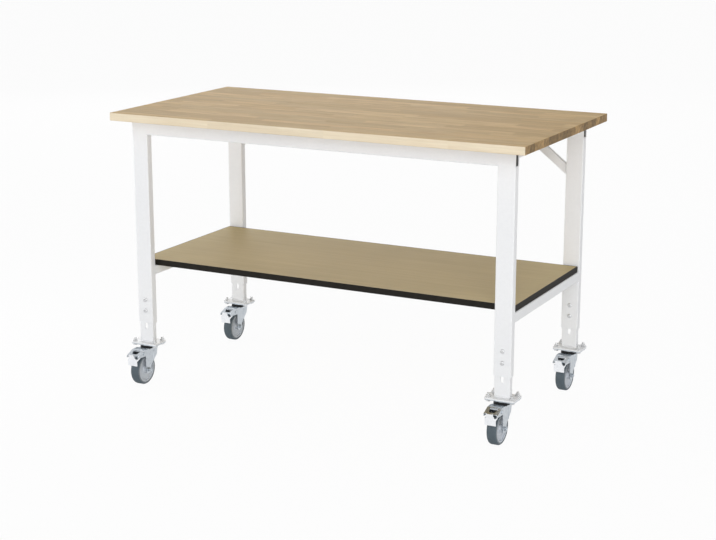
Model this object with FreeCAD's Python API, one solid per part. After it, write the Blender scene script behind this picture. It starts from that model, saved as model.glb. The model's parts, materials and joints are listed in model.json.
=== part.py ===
import FreeCAD, Part
import math
import os

# Mobile work table: a glued beech top on a steel frame with height-adjustable legs, a low shelf and
# four braked swivel casters. Millimetres, +Z up, -Y is the front. The origin is on the floor, at the
# middle of the floor area that the table covers with its casters trailing to the front.

# Worktop
top_length = 1400.0
top_depth = 700.0
top_thickness = 25.0
top_edge_round = 2.0
table_height = 890.0
end_overhang = 48.0
front_overhang = 53.0

# Frame of rectangular steel tube
tube_wall = 2.0
tube_inner_corner = 1.0
leg_width = 55.0
leg_depth = 25.0
rail_height = 46.0
upper_bar_width = 25.0
upper_bar_height = 30.0
lower_bar_height = 30.0
cap_recess = 2.0
cap_depth = 12.0
cap_gap = 0.2
cap_corner = 1.0

# Shelf
shelf_height = 408.0
shelf_thickness = 19.0
shelf_end_inset = 4.0
shelf_leg_gap = 6.0
edge_band = 2.0

# Diagonal braces at the rear legs, folded from sheet as a channel that opens to the rear
brace_angle = 38.0
brace_drop = 105.0
brace_width = 25.0
brace_depth = 16.0
brace_sheet = 2.0
brace_tab = 5.0
brace_end_gap = 3.0

# Sliding inner legs, folded from sheet as a channel that opens to the rear
slide_gap = 0.5
insert_wall = 2.0
insert_inner_corner = 0.5
insert_lip = 6.0
insert_engaged = 242.0
leg_exposed = 63.0
slot_width = 9.0
slot_below_tube = 20.0
slot_top_margin = 20.0
foot_plate = 4.0

# Button-head bolts that clamp the legs and hold the braces, with heads in proportion to their shanks
clamp_bolt_dia = 8.0
clamp_bolt_length = 16.0
brace_bolt_dia = 6.0
brace_bolt_length = 16.0
bolt_head_width_ratio = 1.75
bolt_head_height_ratio = 0.55
bolt_head_round_ratio = 0.43
bolt_socket_ratio = 0.64
bolt_socket_depth_ratio = 0.33
bolt_hole_gap = 0.2
bolt_thread_gap = 0.05
clamp_bolt_low = 42.0
clamp_bolt_pitch = 36.0
clamp_bar_width = 30.0
clamp_bar_thickness = 6.0
clamp_bar_margin = 17.0
clamp_seat_gap = 0.2

# Wood screws under the top and under the shelf
screw_dia = 5.0
screw_head_dia = 10.0
screw_head_height = 3.0
screw_head_round = 1.8
screw_hole_gap = 0.2
top_screw_bite = 16.0
top_screw_access_dia = 13.0
top_screw_inset = 124.0
top_screws_per_rail = 4
shelf_screw_bite = 14.0
shelf_screw_pitch = 200.0
shelf_screws_per_bar = 3

# Caster: top plate and its bolts
plate_length = 95.0
plate_width = 67.0
plate_thickness = 3.0
plate_corner = 8.0
plate_hole_inset_x = 10.0
plate_hole_inset_y = 11.0
plate_bolt_dia = 8.0
plate_bolt_gap = 0.3
plate_bolt_spare = 6.0
hex_flats = 13.0
hex_head_height = 5.3
hex_nut_height = 6.5

# Caster: swivel head
swivel_height = 12.0
cup_radius = 25.0
ball_dia = 5.0
ball_count = 12
ball_gap = 0.3
ball_rise = 1.6
cup_gap = 2.8
seal_gap = 0.4
seal_wall = 2.0
seal_height = 8.0
king_pin_dia = 12.0
king_pin_head_dia = 22.0
king_pin_head_height = 4.5
king_pin_flare = 2.0
king_pin_flare_height = 2.0
running_gap = 0.05
stack_gap = 0.3

# Caster: fork
fork_sheet = 3.0
crown_clear = 13.0
crown_rim = 0.6
trail = 38.0
arm_side_gap = 3.5
arm_half_width = 13.0
arm_rear_top = 17.0
arm_shoulder_behind = 11.0
arm_shoulder_drop = 26.0
arm_shoulder_round = 12.0
arm_taper_rise = 8.0
arm_bead_radius = 2.0
arm_bead_height = 1.4
arm_bead_ahead = 8.0
arm_bead_length = 34.0
arm_bead_drop = 10.0
hood_rise = 3.5
hood_back = 31.0
hood_lower_drop = 2.0
hood_ahead = 6.0
hood_nose_height = 6.0
hood_nose_drop = 13.0
hood_nose_slope = 32.0
hood_corner = 2.0
roof_setback = 4.0
window_inset = 2.0
window_length = 20.0
window_back_width = 31.0
window_front_width = 17.0
window_corner = 5.0

# Caster: wheel
wheel_dia = 100.0
wheel_width = 32.0
tread_thickness = 8.0
tread_shoulder = 7.5
bond_gap = 0.05
rim_thickness = 5.0
rim_inset = 1.5
web_thickness = 18.0
hub_corner = 1.0
hub_fillet = 3.0
boss_dia = 24.0
boss_side_gap = 1.5
sleeve_dia = 12.0
axle_dia = 8.0
axle_spare = 2.0

# Caster: brake pedal
brake_pin_dia = 6.0
brake_pin_head_dia = 10.0
brake_pin_head_height = 2.0
pivot_ahead = 22.0
pivot_rise = 8.0
pedal_sheet = 2.5
pedal_side_gap = 2.5
pedal_eye_radius = 6.0
step_length = 14.0
step_drop = 11.0
lip_ahead = 4.5
lip_bottom_rise = 24.0
lip_lean = 2.0
tongue_ahead = 6.0
tongue_rise = 17.0
tongue_base_width = 27.0
tongue_tip_width = 20.0
tongue_corner = 3.0
cheek_depth = 9.0
pedal_corner = 1.0

# Places worked out from the sizes above, with the table centred on X = 0, Y = 0
top_under = table_height - top_thickness
rail_under = top_under - rail_height
leg_x = top_length / 2 - end_overhang - leg_width / 2
leg_y = top_depth / 2 - front_overhang - leg_depth / 2
leg_outer_x = leg_x + leg_width / 2
leg_inner_x = leg_x - leg_width / 2
leg_inner_y = leg_y - leg_depth / 2
shelf_under = shelf_height - shelf_thickness
lower_bar_under = shelf_under - lower_bar_height
top_screw_length = tube_wall + top_screw_bite
shelf_screw_length = lower_bar_height + shelf_screw_bite
shelf_half_x = leg_outer_x - shelf_end_inset
shelf_half_y = leg_inner_y - shelf_leg_gap

# Heights in the caster and the leg above it
wheel_radius = wheel_dia / 2
crown_under = wheel_dia + crown_clear
crown_top = crown_under + fork_sheet
plate_under = crown_top + swivel_height
plate_top = plate_under + plate_thickness
foot_top = plate_top + foot_plate
leg_tube_end = foot_top + leg_exposed
insert_top = leg_tube_end + insert_engaged
clamp_bolt_z = [leg_tube_end + clamp_bolt_low, leg_tube_end + clamp_bolt_low + clamp_bolt_pitch]

# Places in the caster, with its swivel axis on X = 0, Y = 0 and the wheel trailing to -Y
axle_y = -trail
arm_inner_x = wheel_width / 2 + arm_side_gap
arm_outer_x = arm_inner_x + fork_sheet
hood_top = crown_top + hood_rise
nose_y = axle_y - wheel_radius - hood_ahead
hood_bend_y = nose_y + hood_nose_slope
pivot_y = axle_y - pivot_ahead
pivot_z = wheel_dia + pivot_rise
pedal_half_width = arm_inner_x - pedal_side_gap
lip_top_z = pivot_z - step_drop
lip_bottom_y = axle_y - wheel_radius - lip_ahead
lip_bottom_z = wheel_radius + lip_bottom_rise
lip_top_y = lip_bottom_y - lip_lean
lip_front_y = lip_top_y - pedal_sheet
step_back_y = lip_front_y + step_length
tongue_tip_y = lip_front_y - tongue_ahead

# The table's own middle lies behind the origin, because the front pedals reach past the top
front_reach = leg_y - tongue_tip_y
table_shift = FreeCAD.Vector(0, (front_reach - top_depth / 2) / 2, 0)

AXES = {"x": FreeCAD.Vector(1, 0, 0), "y": FreeCAD.Vector(0, 1, 0), "z": FreeCAD.Vector(0, 0, 1)}
ORIGIN = FreeCAD.Vector(0, 0, 0)


def rounded_wire(points, radii):
    """Closed wire through points, each corner rounded by its radius."""
    edges = []
    count = len(points)
    ends = []
    for index, corner in enumerate(points):
        radius = radii[index]
        back = (points[index - 1] - corner).normalize()
        ahead = (points[(index + 1) % count] - corner).normalize()
        if radius == 0:
            ends.append((corner, corner))
            continue
        half = back.getAngle(ahead) / 2
        middle = (back + ahead).normalize()
        run = radius / math.tan(half)
        start = corner + back * run
        end = corner + ahead * run
        crest = corner + middle * (radius / math.sin(half) - radius)
        edges.append(Part.Arc(start, crest, end).toShape())
        ends.append((start, end))
    for index, (start, end) in enumerate(ends):
        following = ends[(index + 1) % count][0]
        if end.distanceToPoint(following) > 1e-6:
            edges.append(Part.LineSegment(end, following).toShape())
    return Part.Wire(Part.__sortEdges__(edges))


def prism(points, radii, along):
    """Solid of the rounded outline through points, pushed along a vector."""
    return Part.Face(rounded_wire(points, radii)).extrude(along)


def side_plate(outline, radii, x_low, x_high):
    """Plate with an outline given as (y, z) points, between two X planes."""
    points = [FreeCAD.Vector(x_low, y, z) for y, z in outline]
    return prism(points, radii, FreeCAD.Vector(x_high - x_low, 0, 0))


def rounded_bar(low, high, axis, radius):
    """Bar that fills the box from low to high, with its four edges along axis rounded."""
    run = "xyz".index(axis)
    first, second = [i for i in range(3) if i != run]
    points = []
    for u, v in ((0, 0), (1, 0), (1, 1), (0, 1)):
        place = [0, 0, 0]
        place[run] = low[run]
        place[first] = (low, high)[u][first]
        place[second] = (low, high)[v][second]
        points.append(FreeCAD.Vector(*place))
    return prism(points, [radius] * 4, AXES[axis] * (high[run] - low[run]))


def rect_tube(low, high, axis):
    """Rectangular tube that fills the box from low to high and is open at both ends of axis."""
    run = "xyz".index(axis)
    inner_low = [v if i == run else v + tube_wall for i, v in enumerate(low)]
    inner_high = [v if i == run else v - tube_wall for i, v in enumerate(high)]
    outer = rounded_bar(low, high, axis, tube_inner_corner + tube_wall)
    return outer.cut(rounded_bar(inner_low, inner_high, axis, tube_inner_corner))


def cylinder(radius, start, end):
    """Round bar between two points."""
    along = end - start
    return Part.makeCylinder(radius, along.Length, start, along)


def hexagon(flats, height, base, axis):
    """Hexagonal prism of a size across flats, from base along axis."""
    reach = flats / math.sqrt(3)
    turns = [math.radians(60 * step) for step in range(6)]
    points = [FreeCAD.Vector(reach * math.cos(a), reach * math.sin(a), 0) for a in turns]
    solid = prism(points, [0] * 6, FreeCAD.Vector(0, 0, height))
    solid.Placement = FreeCAD.Placement(base, FreeCAD.Rotation(AXES["z"], axis))
    return solid


def spun(outline, radii, axis):
    """Solid of revolution of (radius, place along axis) points about an axis through the origin."""
    across = AXES["y"] if axis == "x" else AXES["x"]
    points = [across * radius + AXES[axis] * place for radius, place in outline]
    return Part.Face(rounded_wire(points, radii)).revolve(ORIGIN, AXES[axis], 360)


def button_bolt(seat, inward, dia, length):
    """Button-head bolt with a hexagon socket; seat is under its head and inward is its direction."""
    head_r = dia * bolt_head_width_ratio / 2
    shank_r = dia / 2
    crest = dia * bolt_head_height_ratio
    outline = [(0, -length), (shank_r, -length), (shank_r, 0), (head_r, 0), (head_r, crest), (0, crest)]
    solid = spun(outline, [0, 0, 0, 0, dia * bolt_head_round_ratio, 0], "z")
    socket_depth = dia * bolt_socket_depth_ratio
    socket_base = FreeCAD.Vector(0, 0, crest - socket_depth)
    solid = solid.cut(hexagon(dia * bolt_socket_ratio, socket_depth, socket_base, AXES["z"]))
    solid.Placement = FreeCAD.Placement(seat, FreeCAD.Rotation(AXES["z"], inward * -1))
    return solid


def wood_screw(seat, length):
    """Pan-head wood screw that points up, with its head under seat."""
    head_r = screw_head_dia / 2
    shank_r = screw_dia / 2
    tip = length - screw_dia
    outline = [(0, -screw_head_height), (head_r, -screw_head_height), (head_r, 0), (shank_r, 0)]
    outline += [(shank_r, tip), (0, length)]
    solid = spun(outline, [0, screw_head_round, 0, 0, 0, 0], "z")
    solid.translate(seat)
    return solid


def drill(solid, centre, axis, dia, reach):
    """Cut a round hole of a diameter that reaches as far on both sides of centre along axis."""
    return solid.cut(cylinder(dia / 2, centre - axis * reach, centre + axis * reach))


def spread(count, half):
    """Places from -half to half, evenly spaced."""
    return [half * (2 * index / (count - 1) - 1) for index in range(count)]


def top_screw_seats():
    """Places under the rails' upper wall where the screws of the top sit."""
    row = spread(top_screws_per_rail, leg_outer_x - top_screw_inset)
    return [FreeCAD.Vector(x, side * leg_y, top_under - tube_wall) for x in row for side in (-1, 1)]


def shelf_screw_seats():
    """Places under the lower crossbars where the screws of the shelf sit."""
    row = spread(shelf_screws_per_bar, shelf_screw_pitch * (shelf_screws_per_bar - 1) / 2)
    return [FreeCAD.Vector(side * leg_x, y, lower_bar_under) for y in row for side in (-1, 1)]


def drill_for_screws(solid, seats, length):
    """Cut holes of a length up from those of the seats that lie under a solid."""
    box = solid.BoundBox
    for seat in seats:
        if box.XMin < seat.x < box.XMax and box.YMin < seat.y < box.YMax:
            solid = solid.cut(cylinder(screw_dia / 2 + screw_hole_gap, seat, seat + AXES["z"] * length))
    return solid


def make_worktop():
    """The glued beech board with eased edges."""
    low = FreeCAD.Vector(-top_length / 2, -top_depth / 2, top_under)
    board = Part.makeBox(top_length, top_depth, top_thickness, low)
    board = board.makeFillet(top_edge_round, board.Edges)
    return drill_for_screws(board, top_screw_seats(), top_screw_length + screw_hole_gap)


def make_rail(side):
    """Tube under the front (-1) or rear (1) edge of the top, across the heads of two legs."""
    low = (-leg_outer_x, side * leg_y - leg_depth / 2, rail_under)
    high = (leg_outer_x, side * leg_y + leg_depth / 2, top_under)
    rail = drill_for_screws(rect_tube(low, high, "x"), top_screw_seats(), top_screw_length)
    for seat in top_screw_seats():
        access = FreeCAD.Vector(seat.x, side * leg_y, rail_under)
        rail = drill(rail, access, AXES["z"], top_screw_access_dia, tube_wall)
    if side > 0:
        for hand in (-1, 1):
            centre = FreeCAD.Vector(hand * brace_top_x(), leg_y, rail_under)
            rail = drill(rail, centre, AXES["z"], brace_bolt_dia + 2 * bolt_hole_gap, tube_wall)
    return rail


def make_rail_end_caps():
    """Plastic plugs, a little sunk in the four open ends of the rails."""
    caps = []
    inset = tube_wall + cap_gap
    half = leg_depth / 2 - inset
    face = leg_outer_x - cap_recess
    for side in (-1, 1):
        low = (face - cap_depth, side * leg_y - half, rail_under + inset)
        high = (face, side * leg_y + half, top_under - inset)
        cap = rounded_bar(low, high, "x", tube_inner_corner)
        front_edges = [edge for edge in cap.Edges if edge.BoundBox.XMin > face - cap_corner]
        cap = cap.makeFillet(cap_corner, front_edges)
        caps += [cap, cap.mirror(ORIGIN, AXES["x"])]
    return Part.makeCompound(caps)


def make_leg_tube(hand, side):
    """Outer tube of one leg, from the rail down, with the holes for its clamp bolts."""
    x = hand * leg_x
    y = side * leg_y
    low = (x - leg_width / 2, y - leg_depth / 2, leg_tube_end)
    high = (x + leg_width / 2, y + leg_depth / 2, rail_under)
    tube = rect_tube(low, high, "z")
    for z in clamp_bolt_z:
        centre = FreeCAD.Vector(x, low[1], z)
        tube = drill(tube, centre, AXES["y"], clamp_bolt_dia + 2 * bolt_hole_gap, tube_wall)
    if side > 0:
        centre = FreeCAD.Vector(hand * leg_inner_x, y, rail_under - brace_drop)
        tube = drill(tube, centre, AXES["x"], brace_bolt_dia + 2 * bolt_hole_gap, tube_wall)
    return tube


def make_upper_bar(hand):
    """Crossbar between the rails, out of sight above the legs of one end."""
    low = (hand * leg_x - upper_bar_width / 2, -leg_inner_y, top_under - upper_bar_height)
    high = (hand * leg_x + upper_bar_width / 2, leg_inner_y, top_under)
    return rect_tube(low, high, "y")


def make_lower_bar(hand):
    """Crossbar between the legs of one end, which carries the shelf."""
    low = (hand * leg_x - leg_width / 2, -leg_inner_y, lower_bar_under)
    high = (hand * leg_x + leg_width / 2, leg_inner_y, shelf_under)
    return drill_for_screws(rect_tube(low, high, "y"), shelf_screw_seats(), shelf_screw_length)


def make_shelf_board():
    """The shelf's core, without its edge band."""
    low = FreeCAD.Vector(edge_band - shelf_half_x, edge_band - shelf_half_y, shelf_under)
    size_x = 2 * (shelf_half_x - edge_band)
    size_y = 2 * (shelf_half_y - edge_band)
    board = Part.makeBox(size_x, size_y, shelf_thickness, low)
    return drill_for_screws(board, shelf_screw_seats(), shelf_screw_length + screw_hole_gap)


def make_shelf_edge_band():
    """Strips glued round the shelf: long ones over the whole length, short ones between them."""
    strips = []
    for side in (-1, 1):
        y_low = side * shelf_half_y - edge_band * (side + 1) / 2
        low = FreeCAD.Vector(-shelf_half_x, y_low, shelf_under)
        strips.append(Part.makeBox(2 * shelf_half_x, edge_band, shelf_thickness, low))
        x_low = side * shelf_half_x - edge_band * (side + 1) / 2
        low = FreeCAD.Vector(x_low, edge_band - shelf_half_y, shelf_under)
        strips.append(Part.makeBox(edge_band, 2 * (shelf_half_y - edge_band), shelf_thickness, low))
    return Part.makeCompound(strips)


def brace_top_x():
    """Distance from the middle at which the braces' centre lines meet the rear rail."""
    return leg_inner_x - brace_drop / math.tan(math.radians(brace_angle))


def brace_outline(half, end_gap):
    """Corners of a slanting strip of half a width, held back from the leg and the rail by a gap."""
    angle = math.radians(brace_angle)
    leg_face = leg_inner_x - end_gap
    rail_face = rail_under - end_gap
    shift_up = end_gap * math.tan(angle)
    low_z = rail_under - brace_drop + shift_up
    shift_in = end_gap / math.tan(angle)
    high_x = brace_top_x() + shift_in
    rise = half / math.cos(angle)
    run = half / math.sin(angle)
    low_end = [(leg_face, low_z - rise), (leg_face, low_z + rise)]
    return low_end + [(high_x + run, rail_face), (high_x - run, rail_face)]


def make_brace(hand):
    """Channel held just off a rear leg and the rear rail, with a tab at each end that is bolted to them."""
    front = leg_y - brace_depth / 2
    half_inside = brace_width / 2 - brace_sheet
    depth = AXES["y"] * brace_depth
    tab_depth = AXES["y"] * (brace_depth - brace_sheet)
    outer = [FreeCAD.Vector(x, front, z) for x, z in brace_outline(brace_width / 2, brace_end_gap)]
    tabs = [FreeCAD.Vector(x, front + brace_sheet, z) for x, z in brace_outline(half_inside, 0)]
    hollow = [FreeCAD.Vector(x, front + brace_sheet, z) for x, z in brace_outline(half_inside, brace_tab)]
    brace = prism(outer, [0] * 4, depth).fuse(prism(tabs, [0] * 4, tab_depth))
    brace = brace.cut(prism(hollow, [0] * 4, depth)).removeSplitter()
    low = FreeCAD.Vector(leg_inner_x, leg_y, rail_under - brace_drop)
    high = FreeCAD.Vector(brace_top_x(), leg_y, rail_under)
    brace = drill(brace, low, AXES["x"], brace_bolt_dia + 2 * bolt_hole_gap, brace_tab)
    brace = drill(brace, high, AXES["z"], brace_bolt_dia + 2 * bolt_hole_gap, brace_tab)
    return brace if hand > 0 else brace.mirror(ORIGIN, AXES["x"])


def make_frame_bolts():
    """All button-head bolts: two that clamp each leg and two that hold each brace."""
    bolts = []
    for hand in (-1, 1):
        for side in (-1, 1):
            for z in clamp_bolt_z:
                seat = FreeCAD.Vector(hand * leg_x, side * leg_y - leg_depth / 2, z)
                bolts.append(button_bolt(seat, AXES["y"], clamp_bolt_dia, clamp_bolt_length))
        low = FreeCAD.Vector(hand * (leg_inner_x - brace_tab), leg_y, rail_under - brace_drop)
        bolts.append(button_bolt(low, AXES["x"] * hand, brace_bolt_dia, brace_bolt_length))
        high = FreeCAD.Vector(hand * brace_top_x(), leg_y, rail_under - brace_tab)
        bolts.append(button_bolt(high, AXES["z"], brace_bolt_dia, brace_bolt_length))
    return Part.makeCompound(bolts)


def make_leg_clamp_bars():
    """Threaded bars behind the slotted wall of each inner leg."""
    bars = []
    front = tube_wall + slide_gap + insert_wall + clamp_seat_gap - leg_depth / 2
    for hand in (-1, 1):
        for side in (-1, 1):
            x = hand * leg_x
            y = side * leg_y + front
            low = (x - clamp_bar_width / 2, y, clamp_bolt_z[0] - clamp_bar_margin)
            high = (x + clamp_bar_width / 2, y + clamp_bar_thickness, clamp_bolt_z[1] + clamp_bar_margin)
            bar = rounded_bar(low, high, "y", tube_inner_corner)
            for z in clamp_bolt_z:
                hole = clamp_bolt_dia + 2 * bolt_thread_gap
                bar = drill(bar, FreeCAD.Vector(x, y, z), AXES["y"], hole, 2 * clamp_bar_thickness)
            bars.append(bar)
    return Part.makeCompound(bars)


def make_top_screws():
    """Screws through the upper wall of the rails into the top, reached by holes in the lower wall."""
    return Part.makeCompound([wood_screw(seat, top_screw_length) for seat in top_screw_seats()])


def make_shelf_screws():
    """Screws through the lower crossbars into the shelf."""
    return Part.makeCompound([wood_screw(seat, shelf_screw_length) for seat in shelf_screw_seats()])


def plate_holes():
    """Centres of the four holes of the caster's top plate."""
    reach_x = plate_length / 2 - plate_hole_inset_x
    reach_y = plate_width / 2 - plate_hole_inset_y
    return [(x * reach_x, y * reach_y) for x in (-1, 1) for y in (-1, 1)]


def foot_shape(z_low, z_high):
    """Plate of the caster's outline with its four bolt holes, between two heights."""
    low = (-plate_length / 2, -plate_width / 2, z_low)
    high = (plate_length / 2, plate_width / 2, z_high)
    plate = rounded_bar(low, high, "z", plate_corner)
    for x, y in plate_holes():
        centre = FreeCAD.Vector(x, y, z_low)
        plate = drill(plate, centre, AXES["z"], plate_bolt_dia + 2 * plate_bolt_gap, z_high - z_low)
    return plate


def make_inner_leg():
    """Slotted channel that slides in the leg tube, welded to its foot plate."""
    half_x = leg_width / 2 - tube_wall - slide_gap
    half_y = leg_depth / 2 - tube_wall - slide_gap
    inner_x = half_x - insert_wall
    inner_y = half_y - insert_wall
    lip_x = half_x - insert_lip
    bend = insert_inner_corner + insert_wall
    right = [(lip_x, inner_y, 0), (lip_x, half_y, 0), (half_x, half_y, bend), (half_x, -half_y, bend)]
    right_inside = [(inner_x, -inner_y, insert_inner_corner), (inner_x, inner_y, insert_inner_corner)]
    left = [(-x, y, radius) for x, y, radius in reversed(right)]
    left_inside = [(-x, y, radius) for x, y, radius in reversed(right_inside)]
    outline = right + left + left_inside + right_inside
    points = [FreeCAD.Vector(x, y, foot_top) for x, y, radius in outline]
    radii = [radius for x, y, radius in outline]
    channel = prism(points, radii, AXES["z"] * (insert_top - foot_top))
    slot_low = (-slot_width / 2, -half_y - insert_wall, leg_tube_end - slot_below_tube)
    slot_high = (slot_width / 2, -inner_y + insert_wall, insert_top - slot_top_margin)
    slot = rounded_bar(slot_low, slot_high, "y", slot_width / 2)
    return channel.cut(slot).fuse(foot_shape(plate_top, foot_top)).removeSplitter()


def make_caster_bolts():
    """Hexagon bolts from below through both plates, each with a nut on top."""
    solids = []
    for x, y in plate_holes():
        seat = FreeCAD.Vector(x, y, plate_under)
        head = hexagon(hex_flats, hex_head_height, seat - AXES["z"] * hex_head_height, AXES["z"])
        end = FreeCAD.Vector(x, y, foot_top + hex_nut_height + plate_bolt_spare)
        solids.append(head.fuse(cylinder(plate_bolt_dia / 2, seat, end)).removeSplitter())
        nut = hexagon(hex_flats, hex_nut_height, FreeCAD.Vector(x, y, foot_top), AXES["z"])
        solids.append(drill(nut, end, AXES["z"], plate_bolt_dia + 2 * running_gap, 2 * hex_nut_height))
    return Part.makeCompound(solids)


def ball_place():
    """Radius and height of the ring on which the balls' centres lie."""
    return cup_radius - ball_dia, crown_top + ball_rise


def ball_groove():
    """Ring that the balls' path takes out of the crown and the cup."""
    ring, height = ball_place()
    return Part.makeTorus(ring, ball_dia / 2 + ball_gap, FreeCAD.Vector(0, 0, height), AXES["z"])


def make_caster_plate():
    """Top plate with the cup of the ball bearing under it and the king pin's countersunk hole."""
    pin_r = king_pin_dia / 2 + running_gap
    cup_low = crown_top + cup_gap
    flare_low = plate_top - king_pin_flare_height
    outline = [(cup_radius, cup_low), (cup_radius, plate_under), (pin_r, plate_under), (pin_r, cup_low)]
    plate = foot_shape(plate_under, plate_top).fuse(spun(outline, [0] * 4, "z")).removeSplitter()
    flare = [(0, flare_low), (pin_r, flare_low), (pin_r + king_pin_flare, plate_top), (0, plate_top)]
    plate = drill(plate, ORIGIN, AXES["z"], 2 * pin_r, plate_top + plate_thickness)
    return plate.cut(spun(flare, [0] * 4, "z")).cut(ball_groove())


def make_king_pin():
    """Rivet that the fork turns about: head under the crown, flared end in the top plate."""
    pin_r = king_pin_dia / 2
    head_r = king_pin_head_dia / 2
    head_top = crown_under - stack_gap
    head_low = head_top - king_pin_head_height
    flare_low = plate_top - king_pin_flare_height
    outline = [(0, head_low), (head_r, head_low), (head_r, head_top), (pin_r, head_top), (pin_r, flare_low)]
    outline += [(pin_r + king_pin_flare, plate_top), (0, plate_top)]
    return spun(outline, [0] * len(outline), "z")


def make_swivel_bearing():
    """Dust ring on the crown and the ring of balls inside it."""
    inner = cup_radius + seal_gap
    outer = inner + seal_wall
    outline = [(inner, crown_top), (outer, crown_top), (outer, crown_top + seal_height)]
    outline += [(inner, crown_top + seal_height)]
    solids = [spun(outline, [0, 0, seal_wall / 2, 0], "z")]
    ring, height = ball_place()
    for index in range(ball_count):
        turn = 2 * math.pi * index / ball_count
        centre = FreeCAD.Vector(ring * math.cos(turn), ring * math.sin(turn), height)
        solids.append(Part.makeSphere(ball_dia / 2, centre))
    return Part.makeCompound(solids)


def make_arm():
    """Right side of the fork: arm down to the axle and cheek of the hood forward to its nose."""
    arm_low = wheel_radius - arm_half_width
    arm_front = axle_y - arm_half_width
    arm_rear = axle_y + arm_half_width
    nose_top = hood_top - hood_nose_drop
    outline = [
        (arm_rear_top, crown_top, 0),
        (arm_shoulder_behind, crown_top - arm_shoulder_drop, arm_shoulder_round),
        (arm_rear, wheel_radius + arm_taper_rise, arm_half_width),
        (arm_rear, arm_low, arm_half_width),
        (arm_front, arm_low, arm_half_width),
        (arm_front, wheel_dia - hood_lower_drop, hood_corner),
        (nose_y, nose_top - hood_nose_height, hood_corner),
        (nose_y, nose_top, hood_corner),
        (hood_bend_y, hood_top, arm_shoulder_round),
        (-hood_back - hood_rise, hood_top, hood_corner),
        (-hood_back, crown_top, 0),
    ]
    points = [(y, z) for y, z, radius in outline]
    radii = [radius for y, z, radius in outline]
    arm = side_plate(points, radii, arm_inner_x, arm_outer_x)
    bead_x = arm_outer_x + arm_bead_height - arm_bead_radius
    bead_top = FreeCAD.Vector(bead_x, -arm_bead_ahead, crown_top - arm_bead_drop)
    bead_low = bead_top - AXES["z"] * arm_bead_length
    return arm.fuse(cylinder(arm_bead_radius, bead_low, bead_top))


def make_roof():
    """Sheet between the fork's sides: a step up from the crown, a flat top and a slope with a window in it."""
    slope = math.atan2(hood_nose_drop, hood_nose_slope)
    step = -hood_back - hood_rise
    flat_under = hood_top - fork_sheet
    front = nose_y + roof_setback
    front_top = hood_top - (hood_bend_y - front) * math.tan(slope)
    outline = [
        (0, crown_top, 0),
        (-hood_back, crown_top, 0),
        (step, hood_top, hood_corner),
        (hood_bend_y, hood_top, arm_shoulder_round),
        (front, front_top, 0),
        (front, front_top - fork_sheet / math.cos(slope), 0),
        (hood_bend_y + fork_sheet * math.tan(slope / 2), flat_under, arm_shoulder_round - fork_sheet),
        (step - hood_corner, flat_under, 0),
        (-hood_back - hood_corner, crown_under, 0),
        (0, crown_under, 0),
    ]
    points = [(y, z) for y, z, radius in outline]
    radii = [radius for y, z, radius in outline]
    roof = side_plate(points, radii, -arm_outer_x, arm_outer_x)
    back_y = hood_bend_y - window_inset
    front_y = back_y - window_length
    corners = [(-window_back_width / 2, back_y), (window_back_width / 2, back_y)]
    corners += [(window_front_width / 2, front_y), (-window_front_width / 2, front_y)]
    window = prism([FreeCAD.Vector(x, y, wheel_dia) for x, y in corners], [window_corner] * 4,
                   AXES["z"] * (hood_top - wheel_dia))
    return roof.cut(window)


def make_fork():
    """Stamped fork: round crown, stepped and sloping roof over the wheel and two arms that carry the pedal."""
    arm = make_arm()
    crown_r = cup_radius + seal_gap + seal_wall + crown_rim
    crown = Part.makeCylinder(crown_r, fork_sheet, FreeCAD.Vector(0, 0, crown_under))
    roof = make_roof()
    fork = crown.multiFuse([roof, arm, arm.mirror(ORIGIN, AXES["x"])]).removeSplitter()
    axle = FreeCAD.Vector(0, axle_y, wheel_radius)
    pivot = FreeCAD.Vector(0, pivot_y, pivot_z)
    fork = drill(fork, axle, AXES["x"], axle_dia + 2 * running_gap, 2 * arm_outer_x)
    fork = drill(fork, pivot, AXES["x"], brake_pin_dia + 2 * running_gap, 2 * arm_outer_x)
    fork = drill(fork, ORIGIN, AXES["z"], king_pin_dia + 2 * running_gap, 2 * crown_top)
    return fork.cut(ball_groove())


def make_caster_pins():
    """Axle bolt, its nut and the wheel's sleeve, and the pin that the pedal tilts on."""
    axle = FreeCAD.Vector(0, axle_y, wheel_radius)
    across = AXES["x"]
    left = axle - across * arm_outer_x
    right = axle + across * arm_outer_x
    bolt_end = right + across * (hex_nut_height + axle_spare)
    head = hexagon(hex_flats, hex_head_height, left - across * hex_head_height, across)
    bolt = head.fuse(cylinder(axle_dia / 2, left, bolt_end)).removeSplitter()
    nut = drill(hexagon(hex_flats, hex_nut_height, right, across), right, across,
                axle_dia + 2 * running_gap, 2 * hex_nut_height)
    sleeve = cylinder(sleeve_dia / 2, axle - across * arm_inner_x, axle + across * arm_inner_x)
    sleeve = drill(sleeve, axle, across, axle_dia + 2 * running_gap, 2 * arm_inner_x)
    pivot = FreeCAD.Vector(0, pivot_y, pivot_z)
    pin = cylinder(brake_pin_dia / 2, pivot - across * arm_outer_x, pivot + across * arm_outer_x)
    for way in (-1, 1):
        seat = pivot + across * (way * arm_outer_x)
        head_end = seat + across * (way * brake_pin_head_height)
        pin = pin.fuse(cylinder(brake_pin_head_dia / 2, seat, head_end))
    return Part.makeCompound([bolt, nut, sleeve, pin.removeSplitter()])


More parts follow.
